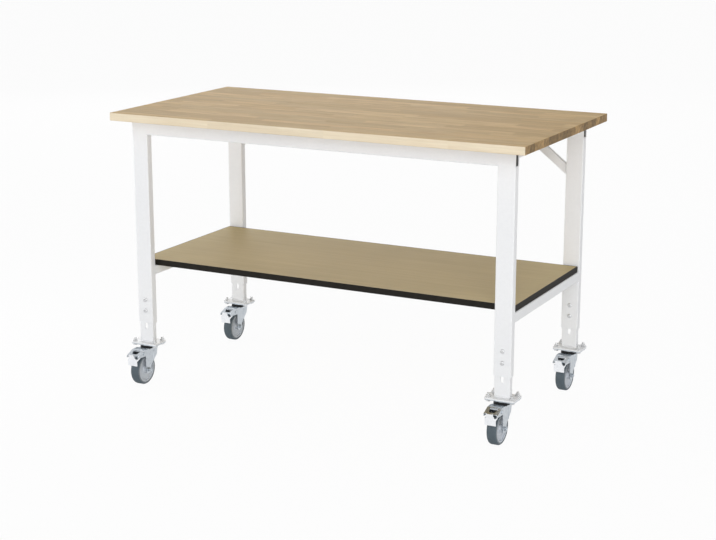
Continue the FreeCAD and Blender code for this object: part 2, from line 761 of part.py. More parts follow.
def make_wheel_hub():
    """Wheel centre: bored boss, dished web and rim."""
    bore = sleeve_dia / 2 + running_gap
    boss_half = arm_inner_x - boss_side_gap
    rim_half = wheel_width / 2 - rim_inset
    rim_r = wheel_radius - tread_thickness
    rim_inner = rim_r - rim_thickness
    boss_r = boss_dia / 2
    web = web_thickness / 2
    side = [(bore, boss_half), (boss_r, boss_half), (boss_r, web), (rim_inner, web), (rim_inner, rim_half),
            (rim_r, rim_half)]
    bends = [0, hub_corner, hub_fillet, hub_fillet, hub_corner, 0]
    outline = side + [(r, -x) for r, x in reversed(side)]
    hub = spun(outline, bends + bends[::-1], "x")
    hub.translate(FreeCAD.Vector(0, axle_y, wheel_radius))
    return hub


def make_wheel_tread():
    """Rubber tread round the wheel centre."""
    inner = wheel_radius - tread_thickness + bond_gap
    half = wheel_width / 2
    outline = [(inner, -half), (wheel_radius, -half), (wheel_radius, half), (inner, half)]
    tread = spun(outline, [0, tread_shoulder, tread_shoulder, 0], "x")
    tread.translate(FreeCAD.Vector(0, axle_y, wheel_radius))
    return tread


def make_pedal_tongue():
    """Flap that stands up and forward from the fold between the pedal's step and its lip."""
    base = FreeCAD.Vector(0, lip_front_y, lip_top_z - pedal_sheet)
    tip = base + FreeCAD.Vector(0, -tongue_ahead, tongue_rise)
    across_base = AXES["x"] * (tongue_base_width / 2)
    across_tip = AXES["x"] * (tongue_tip_width / 2)
    corners = [base - across_base, base + across_base, tip + across_tip, tip - across_tip]
    back = FreeCAD.Vector(0, tongue_rise, tongue_ahead).normalize() * pedal_sheet
    return prism(corners, [0, 0, tongue_corner, tongue_corner], back)


def make_brake_pedal():
    """Sheet pedal: two cheeks on the pivot pin, a step, a lip before the tread and a tongue for the foot."""
    half = pedal_half_width
    eye = pedal_eye_radius
    step = [(step_back_y, lip_top_z - pedal_sheet), (step_back_y, lip_top_z),
            (lip_front_y, lip_top_z), (lip_front_y, lip_top_z - pedal_sheet)]
    lip = [(lip_top_y, lip_top_z), (lip_front_y, lip_top_z),
           (lip_bottom_y - pedal_sheet, lip_bottom_z), (lip_bottom_y, lip_bottom_z)]
    cheek = [(pivot_y, pivot_z - eye), (pivot_y, pivot_z + eye), (step_back_y, lip_top_z),
             (lip_front_y, lip_top_z), (lip_front_y, lip_top_z - cheek_depth)]
    solids = [side_plate(step, [0] * 4, -half, half), make_pedal_tongue()]
    solids.append(side_plate(lip, [0, 0, pedal_corner, pedal_corner], -half, half))
    for x in (-half, half - pedal_sheet):
        solids.append(side_plate(cheek, [0, 0, 0, 0, pedal_corner], x, x + pedal_sheet))
        centre = FreeCAD.Vector(x, pivot_y, pivot_z)
        solids.append(cylinder(eye, centre, centre + AXES["x"] * pedal_sheet))
    pedal = solids[0].multiFuse(solids[1:]).removeSplitter()
    pivot = FreeCAD.Vector(0, pivot_y, pivot_z)
    return drill(pedal, pivot, AXES["x"], brake_pin_dia + 2 * running_gap, 2 * half)


def table_nodes():
    """Every fixed piece of the table, by node name."""
    nodes = {
        "worktop": make_worktop(),
        "front_rail": make_rail(-1),
        "rear_rail": make_rail(1),
        "rail_end_caps": make_rail_end_caps(),
        "shelf_board": make_shelf_board(),
        "shelf_edge_band": make_shelf_edge_band(),
        "frame_bolts": make_frame_bolts(),
        "leg_clamp_bars": make_leg_clamp_bars(),
        "worktop_screws": make_top_screws(),
        "shelf_screws": make_shelf_screws(),
    }
    for hand, word in ((-1, "left"), (1, "right")):
        nodes[f"{word}_upper_crossbar"] = make_upper_bar(hand)
        nodes[f"{word}_lower_crossbar"] = make_lower_bar(hand)
        nodes[f"{word}_rear_brace"] = make_brace(hand)
    return nodes


def corner_nodes():
    """The outer leg, inner leg and caster of each corner, by node name."""
    foot = {
        "inner_leg": make_inner_leg(),
        "caster_bolts": make_caster_bolts(),
        "caster_plate": make_caster_plate(),
        "king_pin": make_king_pin(),
        "swivel_bearing": make_swivel_bearing(),
        "caster_fork": make_fork(),
        "caster_pins": make_caster_pins(),
        "wheel_hub": make_wheel_hub(),
        "wheel_tread": make_wheel_tread(),
        "brake_pedal": make_brake_pedal(),
    }
    nodes = {}
    for side, row in ((-1, "front"), (1, "rear")):
        for hand, word in ((-1, "left"), (1, "right")):
            corner = f"{row}_{word}"
            nodes[f"{corner}_leg_tube"] = make_leg_tube(hand, side)
            for name, shape in foot.items():
                nodes[f"{corner}_{name}"] = shape.translated(FreeCAD.Vector(hand * leg_x, side * leg_y, 0))
    return nodes


os.makedirs("parts", exist_ok=True)
for node_name, node_shape in {**table_nodes(), **corner_nodes()}.items():
    node_shape.translated(table_shift).exportStep(f"parts/{node_name}.step")
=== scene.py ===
import json
import math

import bpy
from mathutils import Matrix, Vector


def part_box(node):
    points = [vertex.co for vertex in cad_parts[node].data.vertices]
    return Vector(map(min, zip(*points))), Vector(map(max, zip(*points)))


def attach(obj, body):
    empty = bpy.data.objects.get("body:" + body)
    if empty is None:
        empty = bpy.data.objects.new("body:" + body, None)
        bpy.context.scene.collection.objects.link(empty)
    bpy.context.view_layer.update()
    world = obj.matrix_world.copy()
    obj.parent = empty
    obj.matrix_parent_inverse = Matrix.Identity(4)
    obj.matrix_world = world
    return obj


# Mobile work table: the looks of its wood, paint, zinc, plastic and rubber, the weld beads of its frame,
# and the studio that it stands in. Metres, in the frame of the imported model.

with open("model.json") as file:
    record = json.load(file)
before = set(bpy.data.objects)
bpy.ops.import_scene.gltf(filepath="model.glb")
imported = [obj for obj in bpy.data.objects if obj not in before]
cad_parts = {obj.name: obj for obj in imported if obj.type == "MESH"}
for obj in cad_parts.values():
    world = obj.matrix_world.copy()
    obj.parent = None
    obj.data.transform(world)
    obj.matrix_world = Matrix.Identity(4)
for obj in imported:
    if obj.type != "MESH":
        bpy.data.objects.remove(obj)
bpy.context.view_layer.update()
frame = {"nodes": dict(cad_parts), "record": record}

CORNERS = ("front_left", "front_right", "rear_left", "rear_right")

# Ranges: of a share, of most values of a noise, and of a normal's part along an axis where a face turns to it
WHOLE = (0.0, 1.0)
NOISE_RANGE = (0.3, 0.7)
FACE_TURN = (0.55, 0.8)

# Staves: width, shortest length and how much longer some are, where a row starts and how far rows differ in
# that, the fingers of their end joints, and the width of a glue line
STAVE_WIDTH = 0.037
STAVE_LENGTH = 0.20
STAVE_LENGTH_SPREAD = 0.30
ROW_START = 9.0
ROW_START_SPREAD = 3.0
ROW_SEED = 7.0
FINGER_PITCH = 0.009
FINGER_DEPTH = 0.010
JOINT_LINE = 0.0004

# Beech grain: how dense each pattern is along the staves and across them, and how far apart the places are
# that the staves take it from
STREAK_DENSITY = (2.0, 60.0)
PORE_DENSITY = (26.0, 620.0)
FIGURE_DENSITY = (9.0, 52.0)
FLECK_DENSITY = (120.0, 1500.0)
GRAIN_SHIFT = 40.0

# Beech colours, as stops of a ramp
PALE_BEECH = ((0.25, (0.562, 0.384, 0.174)), (0.5, (0.637, 0.448, 0.213)), (0.75, (0.697, 0.503, 0.250)))
ROSY_BEECH = ((0.25, (0.508, 0.333, 0.143)), (0.5, (0.596, 0.404, 0.183)), (0.75, (0.661, 0.462, 0.218)))
# Paler colour for the faces turned to the front and back: painted light on the top's edges
PAINTED_LIGHT_EDGE_BEECH = ((0.25, (0.700, 0.578, 0.408)), (0.75, (0.856, 0.767, 0.599)))
END_BEECH = ((0.0, (0.240, 0.150, 0.064)), (0.6, (0.315, 0.204, 0.092)), (1.0, (0.375, 0.252, 0.122)))
BROWN_FIGURE = (0.505, 0.318, 0.142)

# End grain: pitch of the year rings, how far they wander, and where the heart of the tree lies
RING_PITCH = 0.0042
RING_WANDER = 9.0
WANDER_DENSITY = 45.0
HEART_HEIGHT = 0.80
HEART_SPREAD = 0.05
END_MOTTLE_DENSITY = 70.0
END_PORE_DENSITY = 900.0

# Laminate: density of its printed grain and of its fibres along each axis
LAMINATE_GRAIN = (3.0, 85.0, 85.0)
LAMINATE_FIBRES = (40.0, 520.0, 520.0)

# Zinc: dark and pale colour of most zinc parts, of the bolts and of the pedals, the near black of the painted
# shade on the brake pins inside the hoods, and density of the streaks along each axis
PLAIN_ZINC = ((0.43, 0.465, 0.50), (0.60, 0.635, 0.67))
BOLT_ZINC = ((0.53, 0.535, 0.54), (0.63, 0.635, 0.64))
BRIGHT_ZINC = ((0.79, 0.81, 0.84), (0.90, 0.915, 0.94))
PAINTED_HOOD_SHADE = (0.030, 0.032, 0.035)
ROLLING_STREAKS = (900.0, 900.0, 60.0)

# The brake pin lies above this share of the wheel's height; there, inside the hood, the pins get painted
# shade
PIN_LEVEL = 0.75

# Weld beads: leg length, pitch and depth of the ripples, hollow of the face, size of the ends and how fast
# they grow, fineness of the mesh, how far the beads stay short of a tube's edges, and the groove at a tube's
# rounded edge that a ground weld fills
WELD_SIZE = 0.0032
WELD_RIPPLE = 0.0022
WELD_RIPPLE_DEPTH = 0.14
WELD_HOLLOW = 0.18
WELD_END_SIZE = 0.25
WELD_END_GROWTH = 5
WELD_FEWEST_STEPS = 8
WELD_STEPS_PER_RIPPLE = 4
WELD_ARC_STEPS = 6
FRAME_WELD_INSET = 0.004
FOOT_WELD_INSET = 0.0035
GROOVE_SIZE = 0.003

# Inner leg: thickness of its foot plate, and how far its faces lie inside those of the outer tube
FOOT_PLATE = 0.004
LEG_STEP = 0.0025

# Studio: strength of the sky's light, half side of the floor, its grey, how far the white background shows
# through it, and the point that the lamps face
SKY_LIGHT = 0.43
FLOOR_REACH = 60.0
FLOOR_GREY = 0.90
FLOOR_CLEARNESS = 0.95
LAMP_TARGET = (0.0, 0.02, 0.5)

# Camera: lens and sensor in millimetres, farthest distance, place, and in degrees how far it looks down and
# how far it is turned to the left
LENS = 80.27
SENSOR_WIDTH = 36.0
CAMERA_REACH = 200.0
CAMERA_PLACE = (2.2829, -4.4139, 1.6340)
CAMERA_DOWN = 14.103
CAMERA_TURN = 27.248


class Look:
    """A material whose node tree is written as plain calls; each call returns an output socket."""

    def __init__(self, name):
        self.material = bpy.data.materials.new(name)
        self.material.use_nodes = True
        self.tree = self.material.node_tree
        self.shader = self.tree.nodes["Principled BSDF"]
        place = self.tree.nodes.new("ShaderNodeTexCoord")
        self.place = place.outputs["Object"]
        self.normal = place.outputs["Normal"]

    def feed(self, socket, value):
        """Link a socket to an output, or set it to a constant."""
        if isinstance(value, bpy.types.NodeSocket):
            self.tree.links.new(value, socket)
        else:
            socket.default_value = value

    def set(self, **values):
        """Set inputs of the surface shader; underscores stand for spaces."""
        for name, value in values.items():
            self.feed(self.shader.inputs[name.replace("_", " ")], value)

    def math(self, operation, *values):
        node = self.tree.nodes.new("ShaderNodeMath")
        node.operation = operation
        for socket, value in zip(node.inputs, values):
            self.feed(socket, value)
        return node.outputs[0]

    def size_of(self, value):
        return self.math("ABSOLUTE", value)

    def split(self, vector):
        node = self.tree.nodes.new("ShaderNodeSeparateXYZ")
        self.feed(node.inputs[0], vector)
        return node.outputs[0], node.outputs[1], node.outputs[2]

    def join(self, x, y, z):
        node = self.tree.nodes.new("ShaderNodeCombineXYZ")
        for socket, value in zip(node.inputs, (x, y, z)):
            self.feed(socket, value)
        return node.outputs[0]

    def stretch(self, vector, scale):
        node = self.tree.nodes.new("ShaderNodeVectorMath")
        node.operation = "MULTIPLY"
        self.feed(node.inputs[0], vector)
        self.feed(node.inputs[1], scale)
        return node.outputs[0]

    def noise(self, vector, density=1.0, detail=2.0, roughness=0.5, distortion=0.0):
        node = self.tree.nodes.new("ShaderNodeTexNoise")
        self.feed(node.inputs["Vector"], vector)
        node.inputs["Scale"].default_value = density
        node.inputs["Detail"].default_value = detail
        node.inputs["Roughness"].default_value = roughness
        node.inputs["Distortion"].default_value = distortion
        return node.outputs["Fac"]

    def cells(self, vector, density):
        node = self.tree.nodes.new("ShaderNodeTexVoronoi")
        self.feed(node.inputs["Vector"], vector)
        node.inputs["Scale"].default_value = density
        return self.split(node.outputs["Color"])[0]

    def chance(self, x, y):
        """Three random numbers for a pair of numbers."""
        node = self.tree.nodes.new("ShaderNodeTexWhiteNoise")
        node.noise_dimensions = "2D"
        self.feed(node.inputs["Vector"], self.join(x, y, 0.0))
        return self.split(node.outputs["Color"])

    def spread(self, value, source, target):
        """Map a range of a value onto another range, held at both ends."""
        node = self.tree.nodes.new("ShaderNodeMapRange")
        self.feed(node.inputs["Value"], value)
        for end, low_or_high in enumerate(("Min", "Max")):
            node.inputs[f"From {low_or_high}"].default_value = source[end]
            node.inputs[f"To {low_or_high}"].default_value = target[end]
        return node.outputs["Result"]

    def ramp(self, value, *stops):
        node = self.tree.nodes.new("ShaderNodeValToRGB")
        elements = node.color_ramp.elements
        while len(elements) < len(stops):
            elements.new(1.0)
        for element, (position, colour) in zip(elements, stops):
            element.position = position
            element.color = (*colour, 1.0)
        self.feed(node.inputs["Fac"], value)
        return node.outputs["Color"]

    def blotches(self, noise, dark, pale):
        """Colour that goes from dark to pale with a noise."""
        return self.ramp(noise, (NOISE_RANGE[0], dark), (NOISE_RANGE[1], pale))

    def mix(self, share, first, second, blend="MIX"):
        node = self.tree.nodes.new("ShaderNodeMix")
        node.data_type = "RGBA"
        node.blend_type = blend
        self.feed(node.inputs[0], share)
        for socket, value in ((node.inputs[6], first), (node.inputs[7], second)):
            self.feed(socket, (*value, 1.0) if isinstance(value, tuple) else value)
        return node.outputs[2]

    def shade(self, colour, value, source, target):
        """Multiply a colour by a grey amount, which follows a value from one range to another."""
        amount = self.spread(value, source, target)
        return self.mix(1.0, colour, self.join(amount, amount, amount), "MULTIPLY")

    def bump(self, height, distance, strength):
        node = self.tree.nodes.new("ShaderNodeBump")
        node.inputs["Strength"].default_value = strength
        node.inputs["Distance"].default_value = distance
        self.feed(node.inputs["Height"], height)
        self.feed(self.shader.inputs["Normal"], node.outputs["Normal"])


def beech_staves():
    """Oiled beech glued up from finger-jointed staves that run along X, with end grain on the end faces."""
    look = Look("beech")
    x, y, z = look.split(look.place)
    normal_x, normal_y, _ = look.split(look.normal)

    across = look.math("DIVIDE", y, STAVE_WIDTH)
    row = look.math("FLOOR", across)
    length_draw, start_draw, _ = look.chance(row, ROW_SEED)
    length = look.math("MULTIPLY_ADD", length_draw, STAVE_LENGTH_SPREAD, STAVE_LENGTH)
    finger = look.math("PINGPONG", y, FINGER_PITCH / 2)
    zigzag = look.math("MULTIPLY", finger, FINGER_DEPTH / (FINGER_PITCH / 2))
    start = look.math("MULTIPLY_ADD", start_draw, ROW_START_SPREAD, ROW_START)
    along = look.math("DIVIDE", look.math("ADD", look.math("ADD", x, zigzag), start), length)
    stave = look.math("FLOOR", along)
    tone, warmth, offset = look.chance(row, stave)
    shift = look.math("MULTIPLY", offset, GRAIN_SHIFT)

    def grain(density, shift_across=0.0, **noise_settings):
        """Noise drawn out along the staves, taken from another place for each of them."""
        along_density, across_density = density
        place = look.join(look.math("MULTIPLY_ADD", x, along_density, shift),
                          look.math("MULTIPLY_ADD", y, across_density, shift_across),
                          look.math("MULTIPLY", z, across_density))
        return look.noise(place, **noise_settings)

    def joint(place, width):
        """One on the glue lines, at whole numbers of place; it fades to nought within twice their width."""
        from_middle = look.size_of(look.math("SUBTRACT", look.math("FRACT", place), 0.5))
        return look.spread(from_middle, (0.5 - width * 2, 0.5), WHOLE)

    streaks = grain(STREAK_DENSITY, shift, detail=5.0, roughness=0.62, distortion=0.6)
    pores = grain(PORE_DENSITY, detail=3.0, roughness=0.6)
    figure = grain(FIGURE_DENSITY, shift, detail=3.0, roughness=0.55, distortion=0.4)
    flecks = look.spread(grain(FLECK_DENSITY, detail=1.0), (0.62, 0.72), WHOLE)
    seam = joint(across, JOINT_LINE / STAVE_WIDTH)
    joints = look.math("MAXIMUM", seam, joint(along, JOINT_LINE))

    rosiness = look.spread(warmth, (0.45, 1.0), WHOLE)
    colour = look.mix(rosiness, look.ramp(streaks, *PALE_BEECH), look.ramp(streaks, *ROSY_BEECH))
    colour = look.shade(colour, tone, WHOLE, (0.90, 1.11))
    colour = look.mix(look.spread(figure, (0.52, 0.70), (0.0, 0.6)), colour, BROWN_FIGURE)
    colour = look.shade(colour, figure, (0.32, 0.52), (1.09, 1.0))
    colour = look.shade(colour, pores, NOISE_RANGE, (0.93, 1.05))
    colour = look.shade(colour, flecks, WHOLE, (1.0, 0.86))
    colour = look.shade(colour, joints, WHOLE, (1.0, 0.74))

    # Faces turned to the front and back get a paler colour: painted light on the edges
    edge = look.ramp(streaks, *PAINTED_LIGHT_EDGE_BEECH)
    edge = look.shade(edge, tone, WHOLE, (0.97, 1.03))
    edge = look.shade(edge, pores, NOISE_RANGE, (0.95, 1.03))
    colour = look.mix(look.spread(look.size_of(normal_y), FACE_TURN, WHOLE), colour, edge)

    from_seam = look.math("SUBTRACT", y, look.math("MULTIPLY", row, STAVE_WIDTH))
    ring_y = look.math("MULTIPLY_ADD", warmth, HEART_SPREAD, from_seam)
    above_heart = look.math("SUBTRACT", z, HEART_HEIGHT)
    ring_z = look.math("SUBTRACT", above_heart, look.math("MULTIPLY", tone, HEART_SPREAD))
    radius = look.math("SQRT", look.math("ADD", look.math("MULTIPLY", ring_y, ring_y),
                                         look.math("MULTIPLY", ring_z, ring_z)))
    wander = look.math("MULTIPLY", look.noise(look.place, WANDER_DENSITY, detail=3.0), RING_WANDER)
    rings = look.math("SINE", look.math("MULTIPLY_ADD", radius, 2 * math.pi / RING_PITCH, wander))
    end = look.ramp(look.spread(rings, (-1.0, 1.0), WHOLE), *END_BEECH)
    end = look.shade(end, tone, (0.15, 0.85), (0.66, 1.38))
    end = look.shade(end, look.noise(look.place, END_MOTTLE_DENSITY, detail=3.0), NOISE_RANGE, (0.58, 1.42))
    end = look.shade(end, look.noise(look.place, END_PORE_DENSITY), (0.35, 0.65), (0.85, 1.08))
    end = look.shade(end, seam, WHOLE, (1.0, 0.6))
    colour = look.mix(look.spread(look.size_of(normal_x), FACE_TURN, WHOLE), colour, end)

    oil = look.math("ADD", streaks, look.math("MULTIPLY", pores, 0.5))
    look.set(Base_Color=colour, Specular_IOR_Level=0.22)
    look.set(Roughness=look.spread(oil, (0.4, 1.1), (0.68, 0.54)))
    raised = look.math("MULTIPLY_ADD", pores, 0.6, look.math("MULTIPLY", streaks, 0.3))
    sunk = look.math("MULTIPLY_ADD", flecks, 0.35, look.math("MULTIPLY", joints, 0.9))
    look.bump(look.math("SUBTRACT", raised, sunk), distance=0.00012, strength=0.8)
    return look.material


def shelf_laminate():
    """Beech-toned melamine board: an even printed grain under a satin film."""
    look = Look("shelf_laminate")
    grain = look.noise(look.stretch(look.place, LAMINATE_GRAIN), detail=4.0, roughness=0.6, distortion=0.4)
    fibres = look.noise(look.stretch(look.place, LAMINATE_FIBRES))
    cloud = look.noise(look.place, density=3.5)
    colour = look.blotches(grain, (0.528, 0.428, 0.227), (0.586, 0.482, 0.263))
    colour = look.shade(colour, fibres, NOISE_RANGE, (0.965, 1.03))
    colour = look.shade(colour, cloud, NOISE_RANGE, (0.96, 1.03))
    look.set(Base_Color=colour, Specular_IOR_Level=0.22)
    look.set(Roughness=look.spread(fibres, NOISE_RANGE, (0.56, 0.68)))
    look.bump(fibres, distance=0.00005, strength=0.7)
    return look.material


def white_paint():
    """White powder coat with a fine orange peel."""
    look = Look("white_paint")
    cloud = look.noise(look.place, density=5.0, detail=3.0)
    dust = look.noise(look.place, density=160.0)
    peel = look.noise(look.place, density=620.0, roughness=0.45)
    colour = look.blotches(cloud, (0.798, 0.808, 0.824), (0.830, 0.838, 0.850))
    colour = look.shade(colour, dust, NOISE_RANGE, (0.985, 1.01))
    look.set(Base_Color=colour, Specular_IOR_Level=0.45)
    look.set(Roughness=look.spread(look.math("ADD", cloud, peel), (0.6, 1.4), (0.30, 0.46)))
    look.bump(peel, distance=0.00010, strength=0.5)
    return look.material


def painted_hood_shade_mask(look):
    """Mask of painted shade: one on what lies inside a caster's hood, above its axle and between its arms;
    nought elsewhere.
    """
    low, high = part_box("front_right_wheel_tread")
    x, _, z = look.split(look.place)
    off_centre = look.size_of(look.math("SUBTRACT", look.size_of(x), (low.x + high.x) / 2))
    between_arms = look.math("LESS_THAN", off_centre, (high.x - low.x) / 2)
    above_axle = look.math("GREATER_THAN", z, low.z + PIN_LEVEL * (high.z - low.z))
    return look.math("MULTIPLY", between_arms, above_axle)


def zinc(name, colours, rough, painted_shade_mask=None):
    """Zinc-plated steel with faint crystal patches, rolling streaks and fine scratches.

    Where the painted shade mask is one, it is painted near black instead: painted shade for the dark inside
    of a caster's hood."""
    dark, pale = colours
    look = Look(name)
    patch = look.cells(look.place, density=190.0)
    cloud = look.noise(look.place, density=70.0, detail=3.0, roughness=0.6)
    streak = look.noise(look.stretch(look.place, ROLLING_STREAKS), detail=3.0)
    tone = look.math("MULTIPLY_ADD", patch, 0.25, look.math("MULTIPLY", cloud, 0.9))
    colour = look.ramp(tone, (0.25, dark), (0.85, pale))
    if painted_shade_mask:
        # Painted shade: near black where the mask marks the dark inside of a caster's hood
        colour = look.mix(painted_shade_mask(look), colour, PAINTED_HOOD_SHADE)
    look.set(Base_Color=colour, Metallic=1.0)
    look.set(Roughness=look.spread(look.math("ADD", streak, cloud), (0.6, 1.4), rough))
    relief = look.math("MULTIPLY_ADD", streak, 0.5, look.math("MULTIPLY", cloud, 0.5))
    look.bump(relief, distance=0.00006, strength=0.6)
    return look.material


def moulded_plastic(name, dark, pale, rough, grain_density, shine):
    """Moulded plastic with a fine spark-eroded grain."""
    look = Look(name)
    cloud = look.noise(look.place, density=40.0, detail=3.0)
    grain = look.noise(look.place, grain_density, roughness=0.6)
    tone = look.math("MULTIPLY_ADD", grain, 0.3, look.math("MULTIPLY", cloud, 0.7))
    look.set(Base_Color=look.blotches(tone, dark, pale), Specular_IOR_Level=shine)
    look.set(Roughness=look.spread(grain, NOISE_RANGE, rough))
    look.bump(grain, distance=0.00008, strength=0.7)
    return look.material


def black_plastic():
    """Rail end caps and swivel bearings."""
    return moulded_plastic("black_plastic", (0.012, 0.012, 0.013), (0.022, 0.022, 0.023), rough=(0.42, 0.60),
                           grain_density=1500.0, shine=0.20)


def black_edging():
    """Edge band of the shelf."""
    return moulded_plastic("black_edging", (0.010, 0.009, 0.007), (0.017, 0.015, 0.012), rough=(0.50, 0.66),
                           grain_density=1100.0, shine=0.12)


def grey_plastic():
    """Wheel hubs."""
    return moulded_plastic("grey_plastic", (0.520, 0.555, 0.600), (0.590, 0.625, 0.670), rough=(0.36, 0.52),
                           grain_density=1300.0, shine=0.40)


def grey_rubber():
    """Slate-grey rubber tread, painted paler on its side walls as painted sheen."""
    look = Look("grey_rubber")
    cloud = look.noise(look.place, density=55.0, detail=4.0, roughness=0.6)
    grain = look.noise(look.place, density=1400.0)
    running = look.blotches(cloud, (0.072, 0.095, 0.112), (0.098, 0.126, 0.146))
    # Side walls painted paler: painted sheen where they catch the light
    painted_sheen_wall = look.blotches(cloud, (0.190, 0.212, 0.230), (0.250, 0.272, 0.292))
    normal_x, _, _ = look.split(look.normal)
    colour = look.mix(look.spread(look.size_of(normal_x), (0.78, 0.98), WHOLE), running, painted_sheen_wall)
    colour = look.shade(colour, grain, NOISE_RANGE, (0.93, 1.06))
    look.set(Base_Color=colour, Specular_IOR_Level=0.3)
    look.set(Roughness=look.spread(cloud, NOISE_RANGE, (0.62, 0.78)))
    look.bump(grain, distance=0.00010, strength=0.8)
    return look.material


LOOKS = {
    "beech": beech_staves(),
    "shelf_laminate": shelf_laminate(),
    "white_paint": white_paint(),
    "black_plastic": black_plastic(),
    "black_edging": black_edging(),
    "zinc": zinc("zinc", PLAIN_ZINC, rough=(0.24, 0.42)),
    # Brake pins: zinc painted near black inside the hood, as painted shade
    "pin_zinc_hood_shade": zinc("pin_zinc_hood_shade", PLAIN_ZINC, rough=(0.24, 0.42), painted_shade_mask=painted_hood_shade_mask),
    "bolt_zinc": zinc("bolt_zinc", BOLT_ZINC, rough=(0.40, 0.56)),
    "bright_zinc": zinc("bright_zinc", BRIGHT_ZINC, rough=(0.16, 0.30)),
    "grey_plastic": grey_plastic(),
    "grey_rubber": grey_rubber(),
}

# Nodes whose name ends so have a look of their own instead of that of their material slot
OWN_LOOKS = {"_caster_pins": "pin_zinc_hood_shade", "_caster_bolts": "bolt_zinc", "frame_bolts": "bolt_zinc"}


def dress_nodes():
    """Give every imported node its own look, or else that of its material slot."""
    for part in frame["record"]["subparts"]:
        node = frame["nodes"][part["node"]]
        look_name = part["material_slot"]
        for ending, own_look in OWN_LOOKS.items():
            if part["node"].endswith(ending):
                look_name = own_look
        node.data.materials.clear()
        node.data.materials.append(LOOKS[look_name])


def weld_bead(verts, faces, start, end, first, second):
    """Add a rippled bead in the corner between two faces, along the line from start to end."""
    run = end - start
    steps = max(WELD_FEWEST_STEPS, round(run.length / WELD_RIPPLE * WELD_STEPS_PER_RIPPLE))
    ring = WELD_ARC_STEPS + 2
    base = len(verts)
    for step in range(steps + 1):
        share = step / steps
        ripple = math.sin(math.pi * ((share * run.length / WELD_RIPPLE) % 1.0))
        to_end = min(share, 1 - share)
        taper = min(1.0, WELD_END_GROWTH * to_end + WELD_END_SIZE)
        size = WELD_SIZE * taper * (1 - WELD_RIPPLE_DEPTH * (1 - ripple))
        centre = start + run * share
        verts.append(centre)
        for arc in range(WELD_ARC_STEPS + 1):
            turn = math.pi / 2 * arc / WELD_ARC_STEPS
            reach = size * (1 - WELD_HOLLOW * math.sin(2 * turn))
            verts.append(centre + (first * math.cos(turn) + second * math.sin(turn)) * reach)
    for step in range(steps):
        for k in range(ring):
            a = base + step * ring + k
            b = base + step * ring + (k + 1) % ring
            faces.append((a, b, b + ring, a + ring))
    faces.append(tuple(base + k for k in reversed(range(ring))))
    faces.append(tuple(base + steps * ring + k for k in range(ring)))


def ground_weld(verts, faces, start, end, along_face, inward):
    """Add a weld ground flush with a face, which fills the groove at a tube's rounded edge."""
    base = len(verts)
    for place in (start, end):
        verts += [place, place + along_face * GROOVE_SIZE, place + inward * GROOVE_SIZE]
    for k in range(3):
        n = (k + 1) % 3
        faces.append((base + k, base + n, base + n + 3, base + k + 3))
    faces += [(base + 2, base + 1, base), (base + 3, base + 4, base + 5)]


def weld_piece(name, body, beads, ground=()):
    """One piece from several beads and ground welds, which rides on a body."""
    verts, faces = [], []
    for line in beads:
        weld_bead(verts, faces, *line)
    round_faces = len(faces)
    for line in ground:
        ground_weld(verts, faces, *line)
    mesh = bpy.data.meshes.new(name)
    mesh.from_pydata(verts, [], faces)
    mesh.validate()
    mesh.polygons.foreach_set("use_smooth", [index < round_faces for index in range(len(faces))])
    mesh.materials.append(LOOKS["white_paint"])
    piece = bpy.data.objects.new(name, mesh)
    bpy.context.scene.collection.objects.link(piece)
    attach(piece, body)


def line_along(axis, low, high, inset, place, first, second):
    """Bead line along an axis, short of low and high by the inset; place gives its other coordinates."""
    start = Vector(place)
    end = Vector(place)
    start[axis] = low + inset
    end[axis] = high - inset
    return start, end, Vector(first), Vector(second)


def frame_welds():
    """Welds where the crossbars meet legs and rails, and where the legs meet the rails."""
    beads = []
    ground = []
    inset = FRAME_WELD_INSET
    for word in ("left", "right"):
        low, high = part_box(f"{word}_lower_crossbar")
        for y, back in ((low.y, 1), (high.y, -1)):
            for z, way in ((low.z, -1), (high.z, 1)):
                beads.append(line_along(0, low.x, high.x, inset, (0, y, z), (0, back, 0), (0, 0, way)))
            for x, way in ((low.x, 1), (high.x, -1)):
                ground.append(line_along(2, low.z, high.z, GROOVE_SIZE, (x, y, 0), (0, -back, 0),
                                         (way, 0, 0)))
        low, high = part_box(f"{word}_upper_crossbar")
        for y, back in ((low.y, 1), (high.y, -1)):
            beads.append(line_along(0, low.x, high.x, inset, (0, y, low.z), (0, back, 0), (0, 0, -1)))
            for x, way in ((low.x, -1), (high.x, 1)):
                beads.append(line_along(2, low.z, high.z, inset, (x, y, 0), (0, back, 0), (way, 0, 0)))
    for corner in CORNERS:
        low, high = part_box(f"{corner}_leg_tube")
        x, way = (high.x, 1) if "left" in corner else (low.x, -1)
        beads.append(line_along(1, low.y, high.y, inset, (x, 0, high.z), (way, 0, 0), (0, 0, -1)))
        for y, inward in ((low.y, 1), (high.y, -1)):
            ground.append(line_along(0, low.x, high.x, GROOVE_SIZE, (0, y, high.z), (0, 0, 1),
                                     (0, inward, 0)))
    weld_piece("frame_welds", "frame", beads, ground)


def foot_welds(corner):
    """Beads round the inner leg on its foot plate."""
    inset = FOOT_WELD_INSET
    foot_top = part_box(f"{corner}_inner_leg")[0].z + FOOT_PLATE
    low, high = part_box(f"{corner}_leg_tube")
    low += Vector((LEG_STEP, LEG_STEP, 0))
    high -= Vector((LEG_STEP, LEG_STEP, 0))
    beads = [line_along(0, low.x, high.x, inset, (0, low.y, foot_top), (0, -1, 0), (0, 0, 1))]
    for x, way in ((low.x, -1), (high.x, 1)):
        beads.append(line_along(1, low.y, high.y, inset, (x, 0, foot_top), (way, 0, 0), (0, 0, 1)))
    weld_piece(f"{corner}_foot_welds", f"{corner}_leg", beads)


